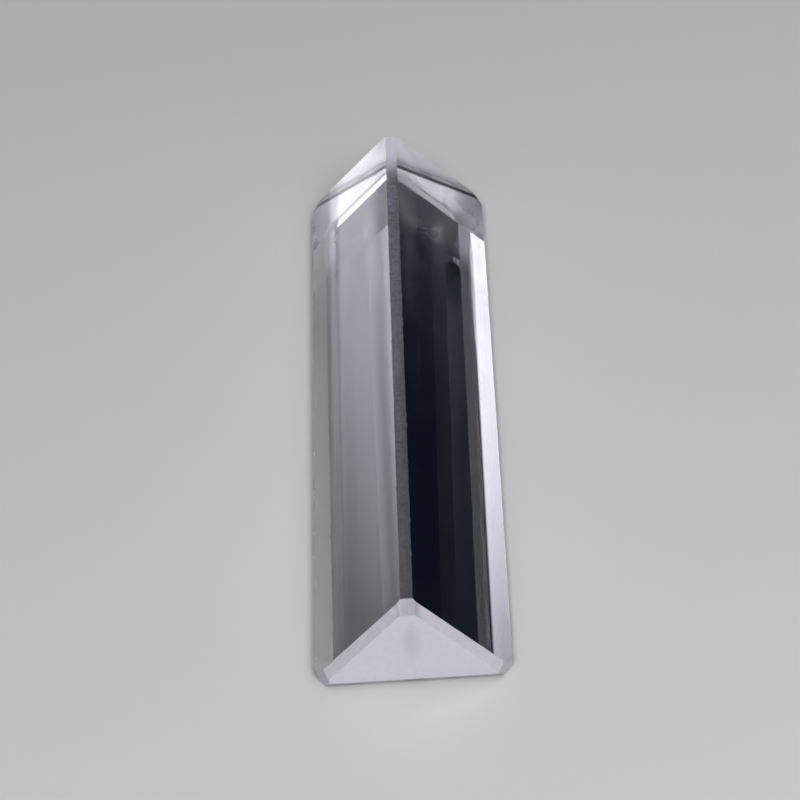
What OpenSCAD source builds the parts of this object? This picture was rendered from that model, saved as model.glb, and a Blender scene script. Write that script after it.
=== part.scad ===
// Long right-angle glass prism, lying on its widest face with the ridge on top.
// The ridge runs along Y, Z is up, and all sizes are in millimetres.
// The origin is the middle of the bottom, halfway between the two long outer edges.

/* [Glass block] */
// Length of the block along the ridge
length = 100; // [60:1:160]
// Width of each polished leg face, measured out to the sharp edges before bevelling
leg_width = 17.6; // [12:0.1:32]
// Angle between the two leg faces at the ridge
ridge_angle = 90; // [60:1:110]

/* [Long edges] */
// Width of the ground flat along the ridge
ridge_flat = 1.4; // [0.4:0.1:3]
// Ground bevel on the left bottom edge, measured along each face from the sharp edge
left_edge_bevel = 1.8; // [0.4:0.05:3]
// Ground bevel on the right bottom edge, measured along each face from the sharp edge
right_edge_bevel = 1.25; // [0.4:0.05:3]

/* [Ends] */
// Ground bevel where the leg faces and the bottom meet an end, measured along each face
end_bevel = 0.95; // [0.3:0.05:2]
// How far along the ridge the facet at its end runs
ridge_facet_run = 1.2; // [0.4:0.1:4]
// How far down the end the ridge facet reaches
ridge_facet_drop = 1.5; // [0.4:0.1:3]
// How far along the block an upright corner facet runs
corner_facet_run = 2.6; // [0.6:0.1:5]
// How far across the end an upright corner facet reaches
corner_facet_reach = 1.65; // [0.4:0.05:4]

/* [Hidden] */

// The sharp triangle that the section is cut from
base_angle = (180 - ridge_angle) / 2;
half_base = leg_width * cos(base_angle);
sharp_height = leg_width * sin(base_angle);

// Where the leg faces start below the ridge and stop above the bottom
ridge_half = ridge_flat / 2;
ridge_height = sharp_height - ridge_half * tan(base_angle);
left_outer = -half_base + left_edge_bevel * cos(base_angle);
right_outer = half_base - right_edge_bevel * cos(base_angle);
left_outer_height = left_edge_bevel * sin(base_angle);
right_outer_height = right_edge_bevel * sin(base_angle);

// Distance from the middle of the sharp bottom to each leg face, and the way each face looks
leg_offset = half_base * sin(base_angle);
right_leg_way = 90 - base_angle;
left_leg_way = 90 + base_angle;

// Moves the section sideways so that its outer edges are equally far from the origin
centre_shift = -(left_outer + right_outer) / 2;

// Section of the block: two legs, the ridge flat, the bottom and its two bevels
module section() {
    polygon([
        [-half_base + left_edge_bevel, 0],
        [half_base - right_edge_bevel, 0],
        [right_outer, right_outer_height],
        [ridge_half, ridge_height],
        [-ridge_half, ridge_height],
        [left_outer, left_outer_height]
    ]);
}

// Wedge that bevels the edge between the near end and the side that looks the given way.
// It takes off run along the side and reach across the end.
module end_wedge(way, offset, run, reach) {
    near_end = -length / 2;
    rotate([0, -way, 0])
        linear_extrude(height = 4 * leg_width, center = true)
            polygon([
                [offset + reach, near_end + 2 * run],
                [offset - 2 * reach, near_end - run],
                [offset + reach, near_end - run]
            ]);
}

// Everything ground off one end
module end_cuts() {
    end_wedge(right_leg_way, leg_offset, end_bevel, end_bevel);
    end_wedge(left_leg_way, leg_offset, end_bevel, end_bevel);
    end_wedge(-90, 0, end_bevel, end_bevel);
    end_wedge(90, ridge_height, ridge_facet_run, ridge_facet_drop);
    end_wedge(0, right_outer, corner_facet_run, corner_facet_reach);
    end_wedge(180, -left_outer, corner_facet_run, corner_facet_reach);
}

// The whole prism, one block of clear glass
module prism() {
    color([0.80, 0.85, 0.91, 0.6])
        translate([centre_shift, 0, 0])
            difference() {
                rotate([90, 0, 0])
                    linear_extrude(height = length, center = true)
                        section();
                end_cuts();
                mirror([0, 1, 0])
                    end_cuts();
            }
}

prism();
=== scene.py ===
"""A long right-angle glass prism on a pale studio floor.

The block is one closed surface: an eight-sided section whose sides move inwards near the
ends, carried along the ridge. Polished faces stay true planes. The ground flats and bevels
carry the hand-ground unevenness and the nicks along their edges.
"""
import math

import bmesh
import bpy
import numpy as np
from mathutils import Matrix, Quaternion, Vector


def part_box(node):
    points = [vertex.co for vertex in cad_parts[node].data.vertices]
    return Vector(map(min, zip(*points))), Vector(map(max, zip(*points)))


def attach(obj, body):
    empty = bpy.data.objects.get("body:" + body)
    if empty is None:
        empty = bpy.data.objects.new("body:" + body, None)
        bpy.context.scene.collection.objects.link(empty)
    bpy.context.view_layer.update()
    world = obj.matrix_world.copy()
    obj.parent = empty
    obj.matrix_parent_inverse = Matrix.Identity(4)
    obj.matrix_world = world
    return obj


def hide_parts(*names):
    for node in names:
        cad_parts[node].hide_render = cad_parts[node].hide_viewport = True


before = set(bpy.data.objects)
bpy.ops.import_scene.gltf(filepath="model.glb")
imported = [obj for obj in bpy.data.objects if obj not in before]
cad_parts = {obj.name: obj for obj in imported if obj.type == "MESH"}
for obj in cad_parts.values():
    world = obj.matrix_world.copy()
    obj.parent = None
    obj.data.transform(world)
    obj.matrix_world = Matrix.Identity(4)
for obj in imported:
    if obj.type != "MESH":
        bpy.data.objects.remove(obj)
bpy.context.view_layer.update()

MM = 0.001

# Ground edges of the block, in metres, as the solid has them
BASE_ANGLE = math.radians(45)
LEFT_EDGE_BEVEL = 1.8 * MM
RIGHT_EDGE_BEVEL = 1.25 * MM
END_BEVEL = 0.95 * MM
RIDGE_FACET_RUN = 1.2 * MM
RIDGE_FACET_DROP = 1.5 * MM
CORNER_FACET_RUN = 2.6 * MM
CORNER_FACET_REACH = 1.65 * MM

# Run and reach of a side that has no cut at the ends
NO_CUT = (1, 0)

# The dark ground line on the far end's bottom bevel, a painted shade, starts this far before the bevel
# and stops this far from the end. Rows nearer to an end than the margin belong to the end's face.
FAR_SHADE_LINE_LEAD = 0.1 * MM
FAR_SHADE_LINE_STOP = 0.6 * END_BEVEL
END_FACE_MARGIN = 0.01 * MM

# How finely the surface is divided
STATION_STEP = 0.4 * MM
SIDE_STEPS = {"bottom": 28, "bevel": 4, "corner": 2, "leg": 24, "ridge": 8}
END_RINGS = 10

# Points closer than the weld are one point, and stations closer than the match are the same
WELD = 0.0001 * MM
STATION_MATCH = 0.000001 * MM

# Wear of the ground edges: number of nicks and deepest bite on both sides of the ridge and
# at the right and the left foot, how far the edges sway, and how ragged the end bevels start
EDGE_NICKS = [(46, 0.16 * MM), (30, 0.12 * MM), (24, 0.14 * MM), (24, 0.14 * MM)]
NICK_CLEAR_OF_END = 4 * MM
SHORTEST_NICK = 0.10 * MM
NICK_STRETCH = 1.6
NICK_STATIONS = np.array([-1, -0.6, 0, 0.6, 1])
WAVE_LENGTHS = np.array([2.3, 4.1, 7.7, 15.0]) * MM
EDGE_SWAY = 0.02 * MM
WEAR_FADES_OVER = 1 * MM
BEVEL_RAGGED = 0.025 * MM
WEAR_SEED = 41

# Sides of the section in order round it, and the corner after each of them
BOTTOM, RIGHT_BEVEL, RIGHT_CORNER, RIGHT_LEG, RIDGE, LEFT_LEG, LEFT_CORNER, LEFT_BEVEL = range(8)

# Slots of the block's mesh. The edge slot holds ground glass painted dark grey and the bevel slot ground
# glass painted a little darker than the ends: painted shade.
POLISHED, EDGE_GROUND_PAINTED_DARK, END_GROUND, BEVEL_GROUND_PAINTED_SHADE = range(4)

# Spans over which the finishes and the painted light and shade change, measured along the ridge, across
# the block and upwards
GREASE_ALONG = (-10 * MM, 45 * MM)
HAZE_STARTS_ALONG = (16 * MM, 38 * MM)
HAZE_STOPS_ALONG = (40.5 * MM, 44.5 * MM)
HAZE_STARTS_ACROSS = (0.0, 0.5 * MM)
HAZE_STOPS_ACROSS = (2.4 * MM, 3.6 * MM)
# Painted light and shade on the long edges, and a painted pale highlight at the ridge's far end
EDGE_PAINTED_LIGHT_ALONG = (-45 * MM, 40 * MM)
RIDGE_PAINTED_SHADE_ACROSS = (-0.7 * MM, 0.7 * MM)
RIDGE_PAINTED_LIGHT_ALONG = (38 * MM, 44.5 * MM)
RIDGE_PAINTED_LIGHT_UP = (6 * MM, 10 * MM)
# Painted shade on the end bevels beside the ridge
BEVEL_PAINTED_SHADE_ACROSS = (0.7 * MM, 1.6 * MM)
# A painted shade on the ends: the ridge's blurred dark image seen through the frosted glass
END_PAINTED_SHADE_HEIGHT = 6.4 * MM
END_PAINTED_SHADE_STRETCH = 0.4
END_PAINTED_SHADE_RADIUS = 1.5 * MM
PIT_DEPTH = 0.05 * MM

# The photograph's camera, seen from the point it looks at
CAMERA_AIM = Vector((-0.34, -3.18, 6.22)) * MM
CAMERA_DISTANCE = 473.8 * MM
CAMERA_AZIMUTH = math.radians(1.53)
CAMERA_ELEVATION = math.radians(35.99)
CAMERA_ROLL = math.radians(-4.58)
CAMERA_LENS = 173.5
CAMERA_SENSOR = 36.0

# The floor lies a dust grain below the glass, so that the polished bottom faces air
FLOOR_GAP = 0.03 * MM
FLOOR_HALF = 3.0

# Tints of the lamps
PALE_LILAC = (0.98, 0.97, 1.0)
LILAC = (0.93, 0.90, 1.0)

# How far the faces of the low strips on the left lean from straight up towards the glass
STRIP_TILT = math.radians(20)
NEAR_STRIP_TILT = math.radians(2)

# Dense flint, so that the bottom mirrors wherever the legs are looked through. Light goes to
# and fro many times inside the block.
GLASS_INDEX = 1.66
LIGHT_BOUNCES = 32


def section_sides(low, high):
    """The eight sides of the section, in order: kind, way it looks (an angle from +X towards
    +Z), distance from the origin along that way, and run and reach of its cut at an end."""
    up = math.pi / 2
    right_way = up - BASE_ANGLE
    left_way = up + BASE_ANGLE
    right_bevel_way = -BASE_ANGLE / 2
    left_bevel_way = math.pi + BASE_ANGLE / 2
    right_edge = (high.x, RIGHT_EDGE_BEVEL * math.sin(BASE_ANGLE))
    left_edge = (low.x, LEFT_EDGE_BEVEL * math.sin(BASE_ANGLE))

    def away(way, point):
        return point[0] * math.cos(way) + point[1] * math.sin(way)

    return [
        ("bottom", -up, 0.0, END_BEVEL, END_BEVEL),
        ("bevel", right_bevel_way, away(right_bevel_way, right_edge), *NO_CUT),
        ("corner", 0.0, high.x, CORNER_FACET_RUN, CORNER_FACET_REACH),
        ("leg", right_way, away(right_way, right_edge), END_BEVEL, END_BEVEL),
        ("ridge", up, high.z, RIDGE_FACET_RUN, RIDGE_FACET_DROP),
        ("leg", left_way, away(left_way, left_edge), END_BEVEL, END_BEVEL),
        ("corner", math.pi, -low.x, CORNER_FACET_RUN, CORNER_FACET_REACH),
        ("bevel", left_bevel_way, away(left_bevel_way, left_edge), *NO_CUT),
    ]


def crossing(way_a, away_a, way_b, away_b):
    """Where two lines of the section cross, each given by the way it looks and its distance."""
    turn = np.sin(way_b - way_a)
    x = (away_a * np.sin(way_b) - away_b * np.sin(way_a)) / turn
    z = (away_b * np.cos(way_a) - away_a * np.cos(way_b)) / turn
    return np.stack([x, z], -1)


def stations_along(half_length, nicks):
    """Places along the ridge: even steps, a few through every nick, and every place where a cut
    starts or where a corner facet has used up a bottom bevel, to a thousandth of a millimetre."""
    body = half_length - CORNER_FACET_RUN
    steps = np.linspace(-body, body, int(round(2 * body / STATION_STEP)) + 1)
    widths = np.array([LEFT_EDGE_BEVEL, RIGHT_EDGE_BEVEL]) * (1 - math.cos(BASE_ANGLE))
    used_up = CORNER_FACET_RUN * (1 - widths / CORNER_FACET_REACH)
    breaks = half_length - np.concatenate([used_up, [RIDGE_FACET_RUN, END_BEVEL, END_BEVEL / 2, 0]])
    middles = np.concatenate([edge[0] for edge in nicks])
    reaches = np.concatenate([edge[1] for edge in nicks])
    through = (middles[:, None] + reaches[:, None] * NICK_STATIONS).ravel()
    return np.unique(np.round(np.concatenate([steps, breaks, -breaks, through]), 6))


def scatter_nicks(dice, count, half_length, largest):
    """Nicks along one edge: where each one is, half its length, and how deep it bites."""
    middle = dice.uniform(-1, 1, count) * (half_length - NICK_CLEAR_OF_END)
    size = dice.uniform(0.2, 1, count) ** 2
    return middle, SHORTEST_NICK + size * largest * NICK_STRETCH, size * largest


def bite_along(y, nicks, dice):
    """How far an edge is worn back: a few slow waves, and at each nick a half-ellipse."""
    middle, reach, depth = nicks
    share = (y[:, None] - middle) / reach
    scoop = np.sqrt(np.clip(1 - share**2, 0, 1)) * depth
    turns = dice.uniform(0, 2 * math.pi, len(WAVE_LENGTHS))
    waves = np.sin(2 * math.pi * y[:, None] / WAVE_LENGTHS + turns).mean(1)
    return scoop.max(1) + (waves + 1) * EDGE_SWAY


def block_corners(low, high, dice):
    """Corner points of the section at each station. The sides' distances shrink in a straight
    line over the last run before an end, and neighbouring sides cross at the corners. Where a
    corner facet has passed a bottom bevel, the facet meets the bottom and the bevel is gone."""
    half_length = (high.y - low.y) / 2
    kinds, ways, rest, run, reach = (np.array(column) for column in zip(*section_sides(low, high)))
    nicks = [scatter_nicks(dice, count, half_length, largest) for count, largest in EDGE_NICKS]
    y = stations_along(half_length, nicks)
    away = rest - np.clip(1 - (half_length - np.abs(y))[:, None] / run, 0, 1) * reach
    after = np.roll(np.arange(len(kinds)), -1)
    true = crossing(ways, away, ways[after], away[:, after])
    for facet, outer, inner in (
        (RIGHT_CORNER, RIGHT_BEVEL, BOTTOM),
        (LEFT_CORNER, LEFT_CORNER, LEFT_BEVEL),
    ):
        meet = crossing(ways[BOTTOM], away[:, BOTTOM], ways[facet], away[:, facet])
        side = math.cos(ways[facet])
        gone = meet[:, 0] * side < true[:, inner, 0] * side
        true[gone, outer] = meet[gone]
        true[gone, inner] = meet[gone]

    worn = true.copy()
    fade = np.clip((half_length - CORNER_FACET_RUN - np.abs(y)) / WEAR_FADES_OVER, 0, 1)[:, None]
    down_right = np.array([math.cos(BASE_ANGLE), -math.sin(BASE_ANGLE)])
    down_left = down_right * (-1, 1)
    ridge_right, ridge_left, foot_right, foot_left = (
        bite_along(y, edge, dice)[:, None] * fade for edge in nicks
    )
    worn[:, RIGHT_LEG] += down_right * ridge_right
    worn[:, RIDGE] += down_left * ridge_left
    worn[:, RIGHT_BEVEL] -= down_right * foot_right
    worn[:, RIGHT_CORNER] -= down_right * foot_right
    worn[:, LEFT_LEG] -= down_left * foot_left
    worn[:, LEFT_CORNER] -= down_left * foot_left
    return kinds, y, true, worn


def build_block(name, low, high):
    """The whole surface: each side is divided evenly between its two true corners at every
    station and starts at the worn one, and each end closes in rings that shrink to its middle."""
    dice = np.random.default_rng(WEAR_SEED)
    kinds, y, true, worn = block_corners(low, high, dice)
    columns, kind_of = [], []
    for index, kind in enumerate(kinds):
        count = SIDE_STEPS[kind]
        share = np.arange(count)[:, None, None] / count
        strip = true[:, index - 1] * (1 - share) + true[:, index] * share
        strip[0] = worn[:, index - 1]
        columns.append(strip)
        kind_of += [kind] * count
    outline = np.concatenate(columns).transpose(1, 0, 2)
    kind_of = np.array(kind_of)
    count = len(kind_of)
    body = np.empty((len(y), count, 3))
    body[:, :, 0] = outline[:, :, 0]
    body[:, :, 1] = y[:, None]
    body[:, :, 2] = outline[:, :, 1]

    half_length = (high.y - low.y) / 2
    bevel_start = np.abs(np.abs(y) - (half_length - END_BEVEL)) < STATION_MATCH
    polished = np.isin(kind_of, ("leg", "bottom"))
    ragged = dice.normal(0, BEVEL_RAGGED, (2, count)) * polished
    body[bevel_start, :, 1] += ragged

    shrink = (np.arange(END_RINGS - 1, 0, -1) / END_RINGS)[:, None, None]
    near_middle, far_middle = body[0].mean(0), body[-1].mean(0)
    near_rings = near_middle + (body[0] - near_middle) * shrink
    far_rings = far_middle + (body[-1] - far_middle) * shrink
    rows = np.concatenate([near_rings[::-1], body, far_rings])
    points = np.concatenate([rows.reshape(-1, 3), [near_middle, far_middle]])

    row = np.arange(len(rows) - 1)[:, None] * count
    here = np.arange(count)[None, :]
    beside = (here + 1) % count
    next_row = row + count
    quads = np.stack([row + here, next_row + here, next_row + beside, row + beside], -1)
    quads = quads.reshape(-1, 4)
    near_pole, far_pole = len(points) - 2, len(points) - 1
    last = (len(rows) - 1) * count
    near_fan = np.stack([np.full(count, near_pole), here[0], beside[0]], -1)
    far_fan = np.stack([np.full(count, far_pole), last + beside[0], last + here[0]], -1)

    row_start = rows[:-1].mean(1)[:, 1]
    row_stop = rows[1:].mean(1)[:, 1]
    middle = np.abs(row_start + row_stop) / 2
    finish = np.full((len(rows) - 1, count), END_GROUND)
    # Rows near the ends get a darker copy of the ends' ground glass, a painted shade
    finish[middle < half_length - END_FACE_MARGIN] = BEVEL_GROUND_PAINTED_SHADE
    finish[np.ix_(middle < half_length - END_BEVEL, polished)] = POLISHED
    # The ridge and the long bevels get the ground glass painted dark grey, a painted shade
    long_edges = np.isin(kind_of, ("ridge", "bevel"))
    finish[np.ix_(middle < half_length - RIDGE_FACET_RUN, long_edges)] = EDGE_GROUND_PAINTED_DARK
    # The far end's bottom bevel gets the dark edge glass, a painted line of shade
    far_shade_line = row_start > half_length - END_BEVEL - FAR_SHADE_LINE_LEAD
    far_shade_line &= middle < half_length - FAR_SHADE_LINE_STOP
    finish[np.ix_(far_shade_line, kind_of == "bottom")] = EDGE_GROUND_PAINTED_DARK
    slots = np.concatenate([finish.ravel(), np.full(2 * count, END_GROUND)])

    mesh = bpy.data.meshes.new(name)
    mesh.from_pydata(points.tolist(), [], quads.tolist() + near_fan.tolist() + far_fan.tolist())
    mesh.polygons.foreach_set("material_index", slots.astype(np.int32))
    work = bmesh.new()
    work.from_mesh(mesh)
    bmesh.ops.remove_doubles(work, verts=work.verts, dist=WELD)
    bmesh.ops.dissolve_degenerate(work, edges=work.edges, dist=WELD)
    bmesh.ops.recalc_face_normals(work, faces=work.faces)
    work.to_mesh(mesh)
    work.free()
    return mesh


def put(tree, kind, settings=None, **inputs):
    """Adds one node. Each input is a plain value or another node's output. An input is given by
    its name, or by an underscore and its number."""
    node = tree.nodes.new(kind)
    for name, value in (settings or {}).items():
        setattr(node, name, value)
    for name, value in inputs.items():
        socket = node.inputs[int(name[1:])] if name[0] == "_" else node.inputs[name.replace("_", " ")]
        if isinstance(value, bpy.types.NodeSocket):
            tree.links.new(value, socket)
        else:
            socket.default_value = value
    return node


def sums(tree, operation, first, second):
    """One sum of two numbers."""
    return put(tree, "ShaderNodeMath", {"operation": operation}, _0=first, _1=second).outputs[0]


def between(tree, value, low, high, out_low=0.0, out_high=1.0):
    """Carries a value from one span to another, smoothly, and stops at the ends."""
    settings = {"interpolation_type": "SMOOTHSTEP"}
    node = put(tree, "ShaderNodeMapRange", settings, _0=value, _1=low, _2=high, _3=out_low, _4=out_high)
    return node.outputs[0]


def blend(tree, way, amount, first, second):
    """Joins two colours: by mixing, or by multiplying. Each is a plain colour or a node's output."""
    settings = {"data_type": "RGBA", "blend_type": way}
    return put(tree, "ShaderNodeMix", settings, _0=amount, _6=first, _7=second).outputs[2]


def new_glass(name, colour, transmission):
    """A glass material with its plain numbers on the shader's own sockets."""
    material = bpy.data.materials.new(name)
    material.use_nodes = True
    shader = material.node_tree.nodes["Principled BSDF"]
    shader.inputs["Base Color"].default_value = (*colour, 1)
    shader.inputs["IOR"].default_value = GLASS_INDEX
    shader.inputs["Transmission Weight"].default_value = transmission
    return material, material.node_tree, shader


def polished_glass():
    """Clear glass with faint handling marks: clouds of skin grease that thicken towards the far
    end, wipe streaks, and specks of lint. They are a thin matt coat over the polish, which the
    grease dulls on the upper part of the right leg. The tint of the glass drifts a little."""
    material, tree, shader = new_glass("polished_glass", (0.97, 0.985, 1.0), 1.0)
    place = put(tree, "ShaderNodeTexCoord").outputs["Object"]
    spot = put(tree, "ShaderNodeSeparateXYZ", Vector=place)
    across = spot.outputs["X"]
    along = spot.outputs["Y"]

    cloud = put(tree, "ShaderNodeTexNoise", Vector=place, Scale=130, Detail=1.5, Roughness=0.5)
    cloud = between(tree, cloud.outputs["Fac"], 0.32, 0.72)
    handled = between(tree, along, *GREASE_ALONG, 0.06, 1.0)
    turned = put(tree, "ShaderNodeMapping", Vector=place, Rotation=(0, 0, 0.5), Scale=(1, 0.12, 1))
    wipe = put(tree, "ShaderNodeTexNoise", Vector=turned.outputs[0], Scale=900, Detail=3, Roughness=0.5)
    wipe = between(tree, wipe.outputs["Fac"], 0.5, 0.75)
    lint = put(tree, "ShaderNodeTexVoronoi", Vector=place, Scale=420)
    speck = between(tree, lint.outputs["Distance"], 0.05, 0.09, 1.0, 0.0)
    chosen = put(tree, "ShaderNodeSeparateColor", Color=lint.outputs["Color"]).outputs[0]
    speck = sums(tree, "MULTIPLY", speck, between(tree, chosen, 0.86, 0.9))
    grease = sums(tree, "MULTIPLY", cloud, handled)
    film = sums(tree, "ADD", sums(tree, "MULTIPLY", grease, 0.75), sums(tree, "MULTIPLY", wipe, 0.008))
    film = sums(tree, "MAXIMUM", film, sums(tree, "MULTIPLY", speck, 0.5))
    tree.links.new(film, shader.inputs["Coat Weight"])
    shader.inputs["Coat Roughness"].default_value = 0.5

    breath = between(tree, along, *HAZE_STARTS_ALONG)
    haze = sums(tree, "MULTIPLY", breath, between(tree, cloud, 0.0, 1.0, 0.12, 0.25))
    haze = sums(tree, "MULTIPLY", haze, between(tree, along, *HAZE_STOPS_ALONG, 1.0, 0.0))
    haze = sums(tree, "MULTIPLY", haze, between(tree, across, *HAZE_STARTS_ACROSS))
    haze = sums(tree, "MULTIPLY", haze, between(tree, across, *HAZE_STOPS_ACROSS, 1.0, 0.0))
    tree.links.new(haze, shader.inputs["Roughness"])

    drift = put(tree, "ShaderNodeTexNoise", Vector=place, Scale=260, Detail=4, Roughness=0.6)
    drift = between(tree, drift.outputs["Fac"], 0.4, 0.68)
    tint = blend(tree, "MIX", drift, (0.975, 0.985, 1.0, 1), (0.945, 0.935, 0.96, 1))
    tree.links.new(tint, shader.inputs["Base Color"])
    return material


def edge_painted_light(tree, place, colour):
    """A long edge gets painted light and shade: it grows paler all the way along and darker to the
    right, with fine grinding lines lengthwise. The ridge gets a painted pale highlight at its far end."""
    spot = put(tree, "ShaderNodeSeparateXYZ", Vector=place)
    along = between(tree, spot.outputs["Y"], *EDGE_PAINTED_LIGHT_ALONG, 0.62, 1.4)
    across = between(tree, spot.outputs["X"], *RIDGE_PAINTED_SHADE_ACROSS, 1.22, 0.8)
    drawn = put(tree, "ShaderNodeMapping", Vector=place, Scale=(1, 0.03, 1)).outputs[0]
    lines = put(tree, "ShaderNodeTexNoise", Vector=drawn, Scale=5200, Detail=2, Roughness=0.6)
    lines = between(tree, lines.outputs["Fac"], 0.3, 0.7, 0.8, 1.16)
    tone = sums(tree, "MULTIPLY", sums(tree, "MULTIPLY", along, across), lines)
    far = between(tree, spot.outputs["Y"], *RIDGE_PAINTED_LIGHT_ALONG, 0.0, 0.9)
    high = between(tree, spot.outputs["Z"], *RIDGE_PAINTED_LIGHT_UP)
    pale = sums(tree, "MULTIPLY", far, high)
    # Painted light and shade, then a painted pale highlight at the ridge's far end
    toned = blend(tree, "MULTIPLY", 1.0, colour, tone)
    return blend(tree, "MIX", pale, toned, (0.62, 0.61, 0.67, 1))


def bevel_painted_shade(tree, place, colour):
    """An end bevel has a painted shade: rather darker beside the ridge than out on the legs."""
    across = put(tree, "ShaderNodeSeparateXYZ", Vector=place).outputs["X"]
    # Painted shade beside the ridge
    tone = between(tree, sums(tree, "ABSOLUTE", across, 0.0), *BEVEL_PAINTED_SHADE_ACROSS, 0.56, 1.0)
    return blend(tree, "MULTIPLY", 1.0, colour, tone)


def end_painted_shade(tree, place, colour):
    """An end has a soft, faint upright painted shade below the ridge, the ridge's blurred dark image
    seen through the frosted glass.
    """
    centre = (0, 0, -END_PAINTED_SHADE_HEIGHT * END_PAINTED_SHADE_STRETCH)
    middle = put(tree, "ShaderNodeMapping", Vector=place, Location=centre, Scale=(1, 0, END_PAINTED_SHADE_STRETCH))
    away = put(tree, "ShaderNodeVectorMath", {"operation": "LENGTH"}, _0=middle.outputs[0])
    # Painted shade, darkest at its middle
    tone = between(tree, away.outputs["Value"], 0.0, END_PAINTED_SHADE_RADIUS, 0.84, 1.0)
    return blend(tree, "MULTIPLY", 1.0, colour, tone)


def ground_glass(name, light, dark, roughness, transmission, pitting, painted_light_and_shade):
    """Glass ground matt: a mottled grey, a fine grain, and small pits left by the coarse grit.
    The painted light and shade is a function that paints the grey lighter or darker from place to place."""
    material, tree, shader = new_glass(name, light, transmission)
    place = put(tree, "ShaderNodeTexCoord").outputs["Object"]
    mottle = put(tree, "ShaderNodeTexNoise", Vector=place, Scale=1500, Detail=5, Roughness=0.7)
    mottle = between(tree, mottle.outputs["Fac"], 0.2, 0.75)
    grain = put(tree, "ShaderNodeTexNoise", Vector=place, Scale=6500, Detail=3, Roughness=0.6)
    cells = put(tree, "ShaderNodeTexVoronoi", Vector=place, Scale=2800)
    pit = between(tree, cells.outputs["Distance"], 0.24, 0.42, 1.0, 0.0)
    chosen = put(tree, "ShaderNodeSeparateColor", Color=cells.outputs["Color"]).outputs[0]
    pit = sums(tree, "MULTIPLY", pit, between(tree, chosen, 1.0 - pitting, 1.02 - pitting))
    patch = put(tree, "ShaderNodeTexNoise", Vector=place, Scale=120, Detail=1, Roughness=0.5)
    pit = sums(tree, "MULTIPLY", pit, between(tree, patch.outputs["Fac"], 0.42, 0.52))
    tone = sums(tree, "MULTIPLY", mottle, sums(tree, "SUBTRACT", 1.0, pit))
    colour = blend(tree, "MIX", tone, (*dark, 1), (*light, 1))
    # Painted light and shade worked into the colour
    tree.links.new(painted_light_and_shade(tree, place, colour), shader.inputs["Base Color"])
    matt = between(tree, mottle, 0, 1, roughness - 0.06, roughness + 0.08)
    tree.links.new(matt, shader.inputs["Roughness"])
    height = sums(tree, "SUBTRACT", sums(tree, "MULTIPLY", grain.outputs["Fac"], 0.35), pit)
    bump = put(tree, "ShaderNodeBump", Strength=0.5, Distance=PIT_DEPTH, Height=height)
    tree.links.new(bump.outputs[0], shader.inputs["Normal"])
    return material


def add_prism():
    """The glass block in place of the plain solid."""
    low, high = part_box("prism")
    mesh = build_block("prism_glass", low, high)
    mesh.materials.append(polished_glass())
    # Ground glass painted dark grey, a painted shade for the dark the edges look into; the mottle and
    # pits are its own
    mesh.materials.append(ground_glass(
        "ground_edges_painted_dark", light=(0.1, 0.1, 0.119), dark=(0.02, 0.02, 0.025),
        roughness=0.5, transmission=0.25, pitting=0.5, painted_light_and_shade=edge_painted_light,
    ))
    mesh.materials.append(ground_glass(
        "ground_ends", light=(0.91, 0.895, 0.955), dark=(0.84, 0.825, 0.89),
        roughness=0.4, transmission=0.5, pitting=0.06, painted_light_and_shade=end_painted_shade,
    ))
    # A darker copy of the ends' ground glass, a painted shade
    mesh.materials.append(ground_glass(
        "ground_bevels_painted_shade", light=(0.78, 0.765, 0.83), dark=(0.66, 0.65, 0.71),
        roughness=0.5, transmission=0.5, pitting=0.06, painted_light_and_shade=bevel_painted_shade,
    ))
    prism = bpy.data.objects.new("prism_glass", mesh)
    bpy.context.scene.collection.objects.link(prism)
    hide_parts("prism")
    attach(prism, "root")


def add_floor():
    """A plain pale floor."""
    half = FLOOR_HALF
    mesh = bpy.data.meshes.new("floor")
    corners = [(-half, -half), (half, -half), (half, half), (-half, half)]
    mesh.from_pydata([(x, y, -FLOOR_GAP) for x, y in corners], [], [(0, 1, 2, 3)])
    floor = bpy.data.objects.new("floor", mesh)
    bpy.context.scene.collection.objects.link(floor)
    material = bpy.data.materials.new("pale_floor")
    material.use_nodes = True
    shader = material.node_tree.nodes["Principled BSDF"]
    shader.inputs["Base Color"].default_value = (0.5, 0.5, 0.497, 1)
    shader.inputs["Roughness"].default_value = 0.4
    mesh.materials.append(material)


def add_panel(name, place, aim, size, brightness, colour, fades=(0.35, 0.35, 0.35, 0.35)):
    """A soft rectangular lamp. A plain panel's power is pi times its area times its brightness.
    The fades are the shares of its width and height over which it dims to nothing at its left
    side, right side, foot and top, as seen by someone standing behind it."""
    width, height = size
    data = bpy.data.lights.new(name, "AREA")
    data.shape = "RECTANGLE"
    data.size = width
    data.size_y = height
    data.energy = math.pi * width * height * brightness
    data.color = colour
    data.use_nodes = True
    tree = data.node_tree
    spot = put(tree, "ShaderNodeNewGeometry").outputs["Parametric"]
    across = put(tree, "ShaderNodeSeparateXYZ", Vector=spot)
    left_fade, right_fade, foot_fade, top_fade = fades
    left = between(tree, across.outputs["X"], 0.0, left_fade)
    right = between(tree, across.outputs["X"], 1.0 - right_fade, 1.0, 1.0, 0.0)
    foot = between(tree, across.outputs["Y"], 0.0, foot_fade)
    top = between(tree, across.outputs["Y"], 1.0 - top_fade, 1.0, 1.0, 0.0)
    glow = sums(tree, "MULTIPLY", sums(tree, "MULTIPLY", left, right), sums(tree, "MULTIPLY", foot, top))
    tree.links.new(glow, tree.nodes["Emission"].inputs["Strength"])
    lamp = bpy.data.objects.new(name, data)
    bpy.context.scene.collection.objects.link(lamp)
    lamp.location = place
    lamp.rotation_mode = "QUATERNION"
    lamp.rotation_quaternion = (Vector(aim) - Vector(place)).to_track_quat("-Z", "Y")
    lamp.visible_camera = False


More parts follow.
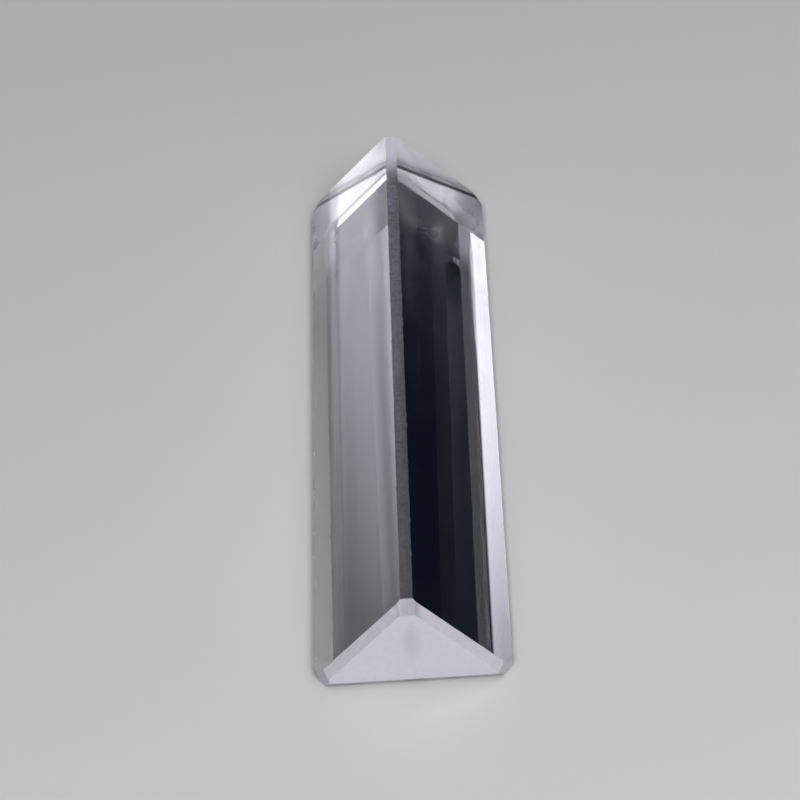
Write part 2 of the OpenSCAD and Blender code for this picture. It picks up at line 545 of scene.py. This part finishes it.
def add_low_strip(name, middle, size, tilt, brightness, fades):
    """A strip that lies low on the left and faces upwards, leaning towards the glass by the tilt,
    so that the glass mirrors it and the floor in front of it stays even."""
    middle = Vector(middle)
    aim = middle + Vector((math.sin(tilt), 0, math.cos(tilt)))
    add_panel(name, middle, aim, size, brightness, LILAC, fades)


def add_lamps():
    """The studio's lamps. The right edge of the glass mirrors the high part of the low strips and
    the left leg mirrors the rest. A narrow panel far behind is seen through the left leg alone.
    The others are soft panels above, in front and behind."""
    add_low_strip(
        "left_strip", middle=(-0.1025, 0.116, 0.00923), size=(0.21, 0.0159), tilt=STRIP_TILT,
        brightness=1.52, fades=(0.05, 0.88, 0.45, 0.08),
    )
    add_low_strip(
        "left_low_strip", middle=(-0.0893, 0.098, 0.00446), size=(0.21, 0.026), tilt=STRIP_TILT,
        brightness=1.95, fades=(0.05, 0.88, 0.15, 0.5),
    )
    add_low_strip(
        "left_near_strip", middle=(-0.059, 0.065, 0.0014), size=(0.16, 0.026), tilt=NEAR_STRIP_TILT,
        brightness=0.8, fades=(0.05, 0.69, 0.25, 0.35),
    )
    add_panel(
        "back_strip", place=(-0.125, 3.215, 2.379), aim=(0, 0, 0.006), size=(0.058, 0.56),
        brightness=0.06, colour=LILAC, fades=(0.28, 0.65, 0.45, 0.3),
    )
    add_panel(
        "overhead", place=(-0.12, 0.03, 0.55), aim=(-0.12, 0.0301, 0), size=(0.6, 0.6),
        brightness=1.7, colour=PALE_LILAC,
    )
    add_panel(
        "front_fill", place=(0, -0.46, 0.52), aim=(0, -0.03, 0), size=(0.80, 0.50),
        brightness=5.6, colour=PALE_LILAC, fades=(0.25, 0.25, 0.25, 0.25),
    )
    add_panel(
        "front_key", place=(0.30, -0.44, 0.46), aim=(0, -0.05, 0.005), size=(0.50, 0.44),
        brightness=5.0, colour=PALE_LILAC,
    )
    add_panel(
        "right_back", place=(0.14, 0.17, 0.38), aim=(0, 0.04, 0), size=(0.16, 0.16),
        brightness=9, colour=LILAC,
    )
    add_panel(
        "left_back", place=(-0.14, 0.17, 0.38), aim=(0, 0.04, 0), size=(0.16, 0.16),
        brightness=0.9, colour=LILAC,
    )


def add_world():
    """A dim studio, a little blue."""
    world = bpy.data.worlds.new("studio")
    world.use_nodes = True
    background = world.node_tree.nodes["Background"]
    background.inputs["Color"].default_value = (0.003, 0.0042, 0.010, 1)
    background.inputs["Strength"].default_value = 1.0
    bpy.context.scene.world = world


def add_camera():
    """The photograph's camera."""
    data = bpy.data.cameras.new("camera")
    data.lens = CAMERA_LENS
    data.sensor_width = CAMERA_SENSOR
    data.clip_start = 0.01
    data.clip_end = 20
    camera = bpy.data.objects.new("camera", data)
    bpy.context.scene.collection.objects.link(camera)
    flat = math.cos(CAMERA_ELEVATION)
    back = Vector((
        math.sin(CAMERA_AZIMUTH) * flat,
        -math.cos(CAMERA_AZIMUTH) * flat,
        math.sin(CAMERA_ELEVATION),
    ))
    camera.location = CAMERA_AIM + back * CAMERA_DISTANCE
    camera.rotation_mode = "QUATERNION"
    camera.rotation_quaternion = (-back).to_track_quat("-Z", "Y") @ Quaternion((0, 0, 1), CAMERA_ROLL)
    bpy.context.scene.camera = camera


scene = bpy.context.scene
scene.view_settings.view_transform = "Standard"
scene.cycles.max_bounces = LIGHT_BOUNCES
scene.cycles.glossy_bounces = LIGHT_BOUNCES
scene.cycles.transmission_bounces = LIGHT_BOUNCES
scene.cycles.blur_glossy = 0.0

add_prism()
add_floor()
add_lamps()
add_world()
add_camera()
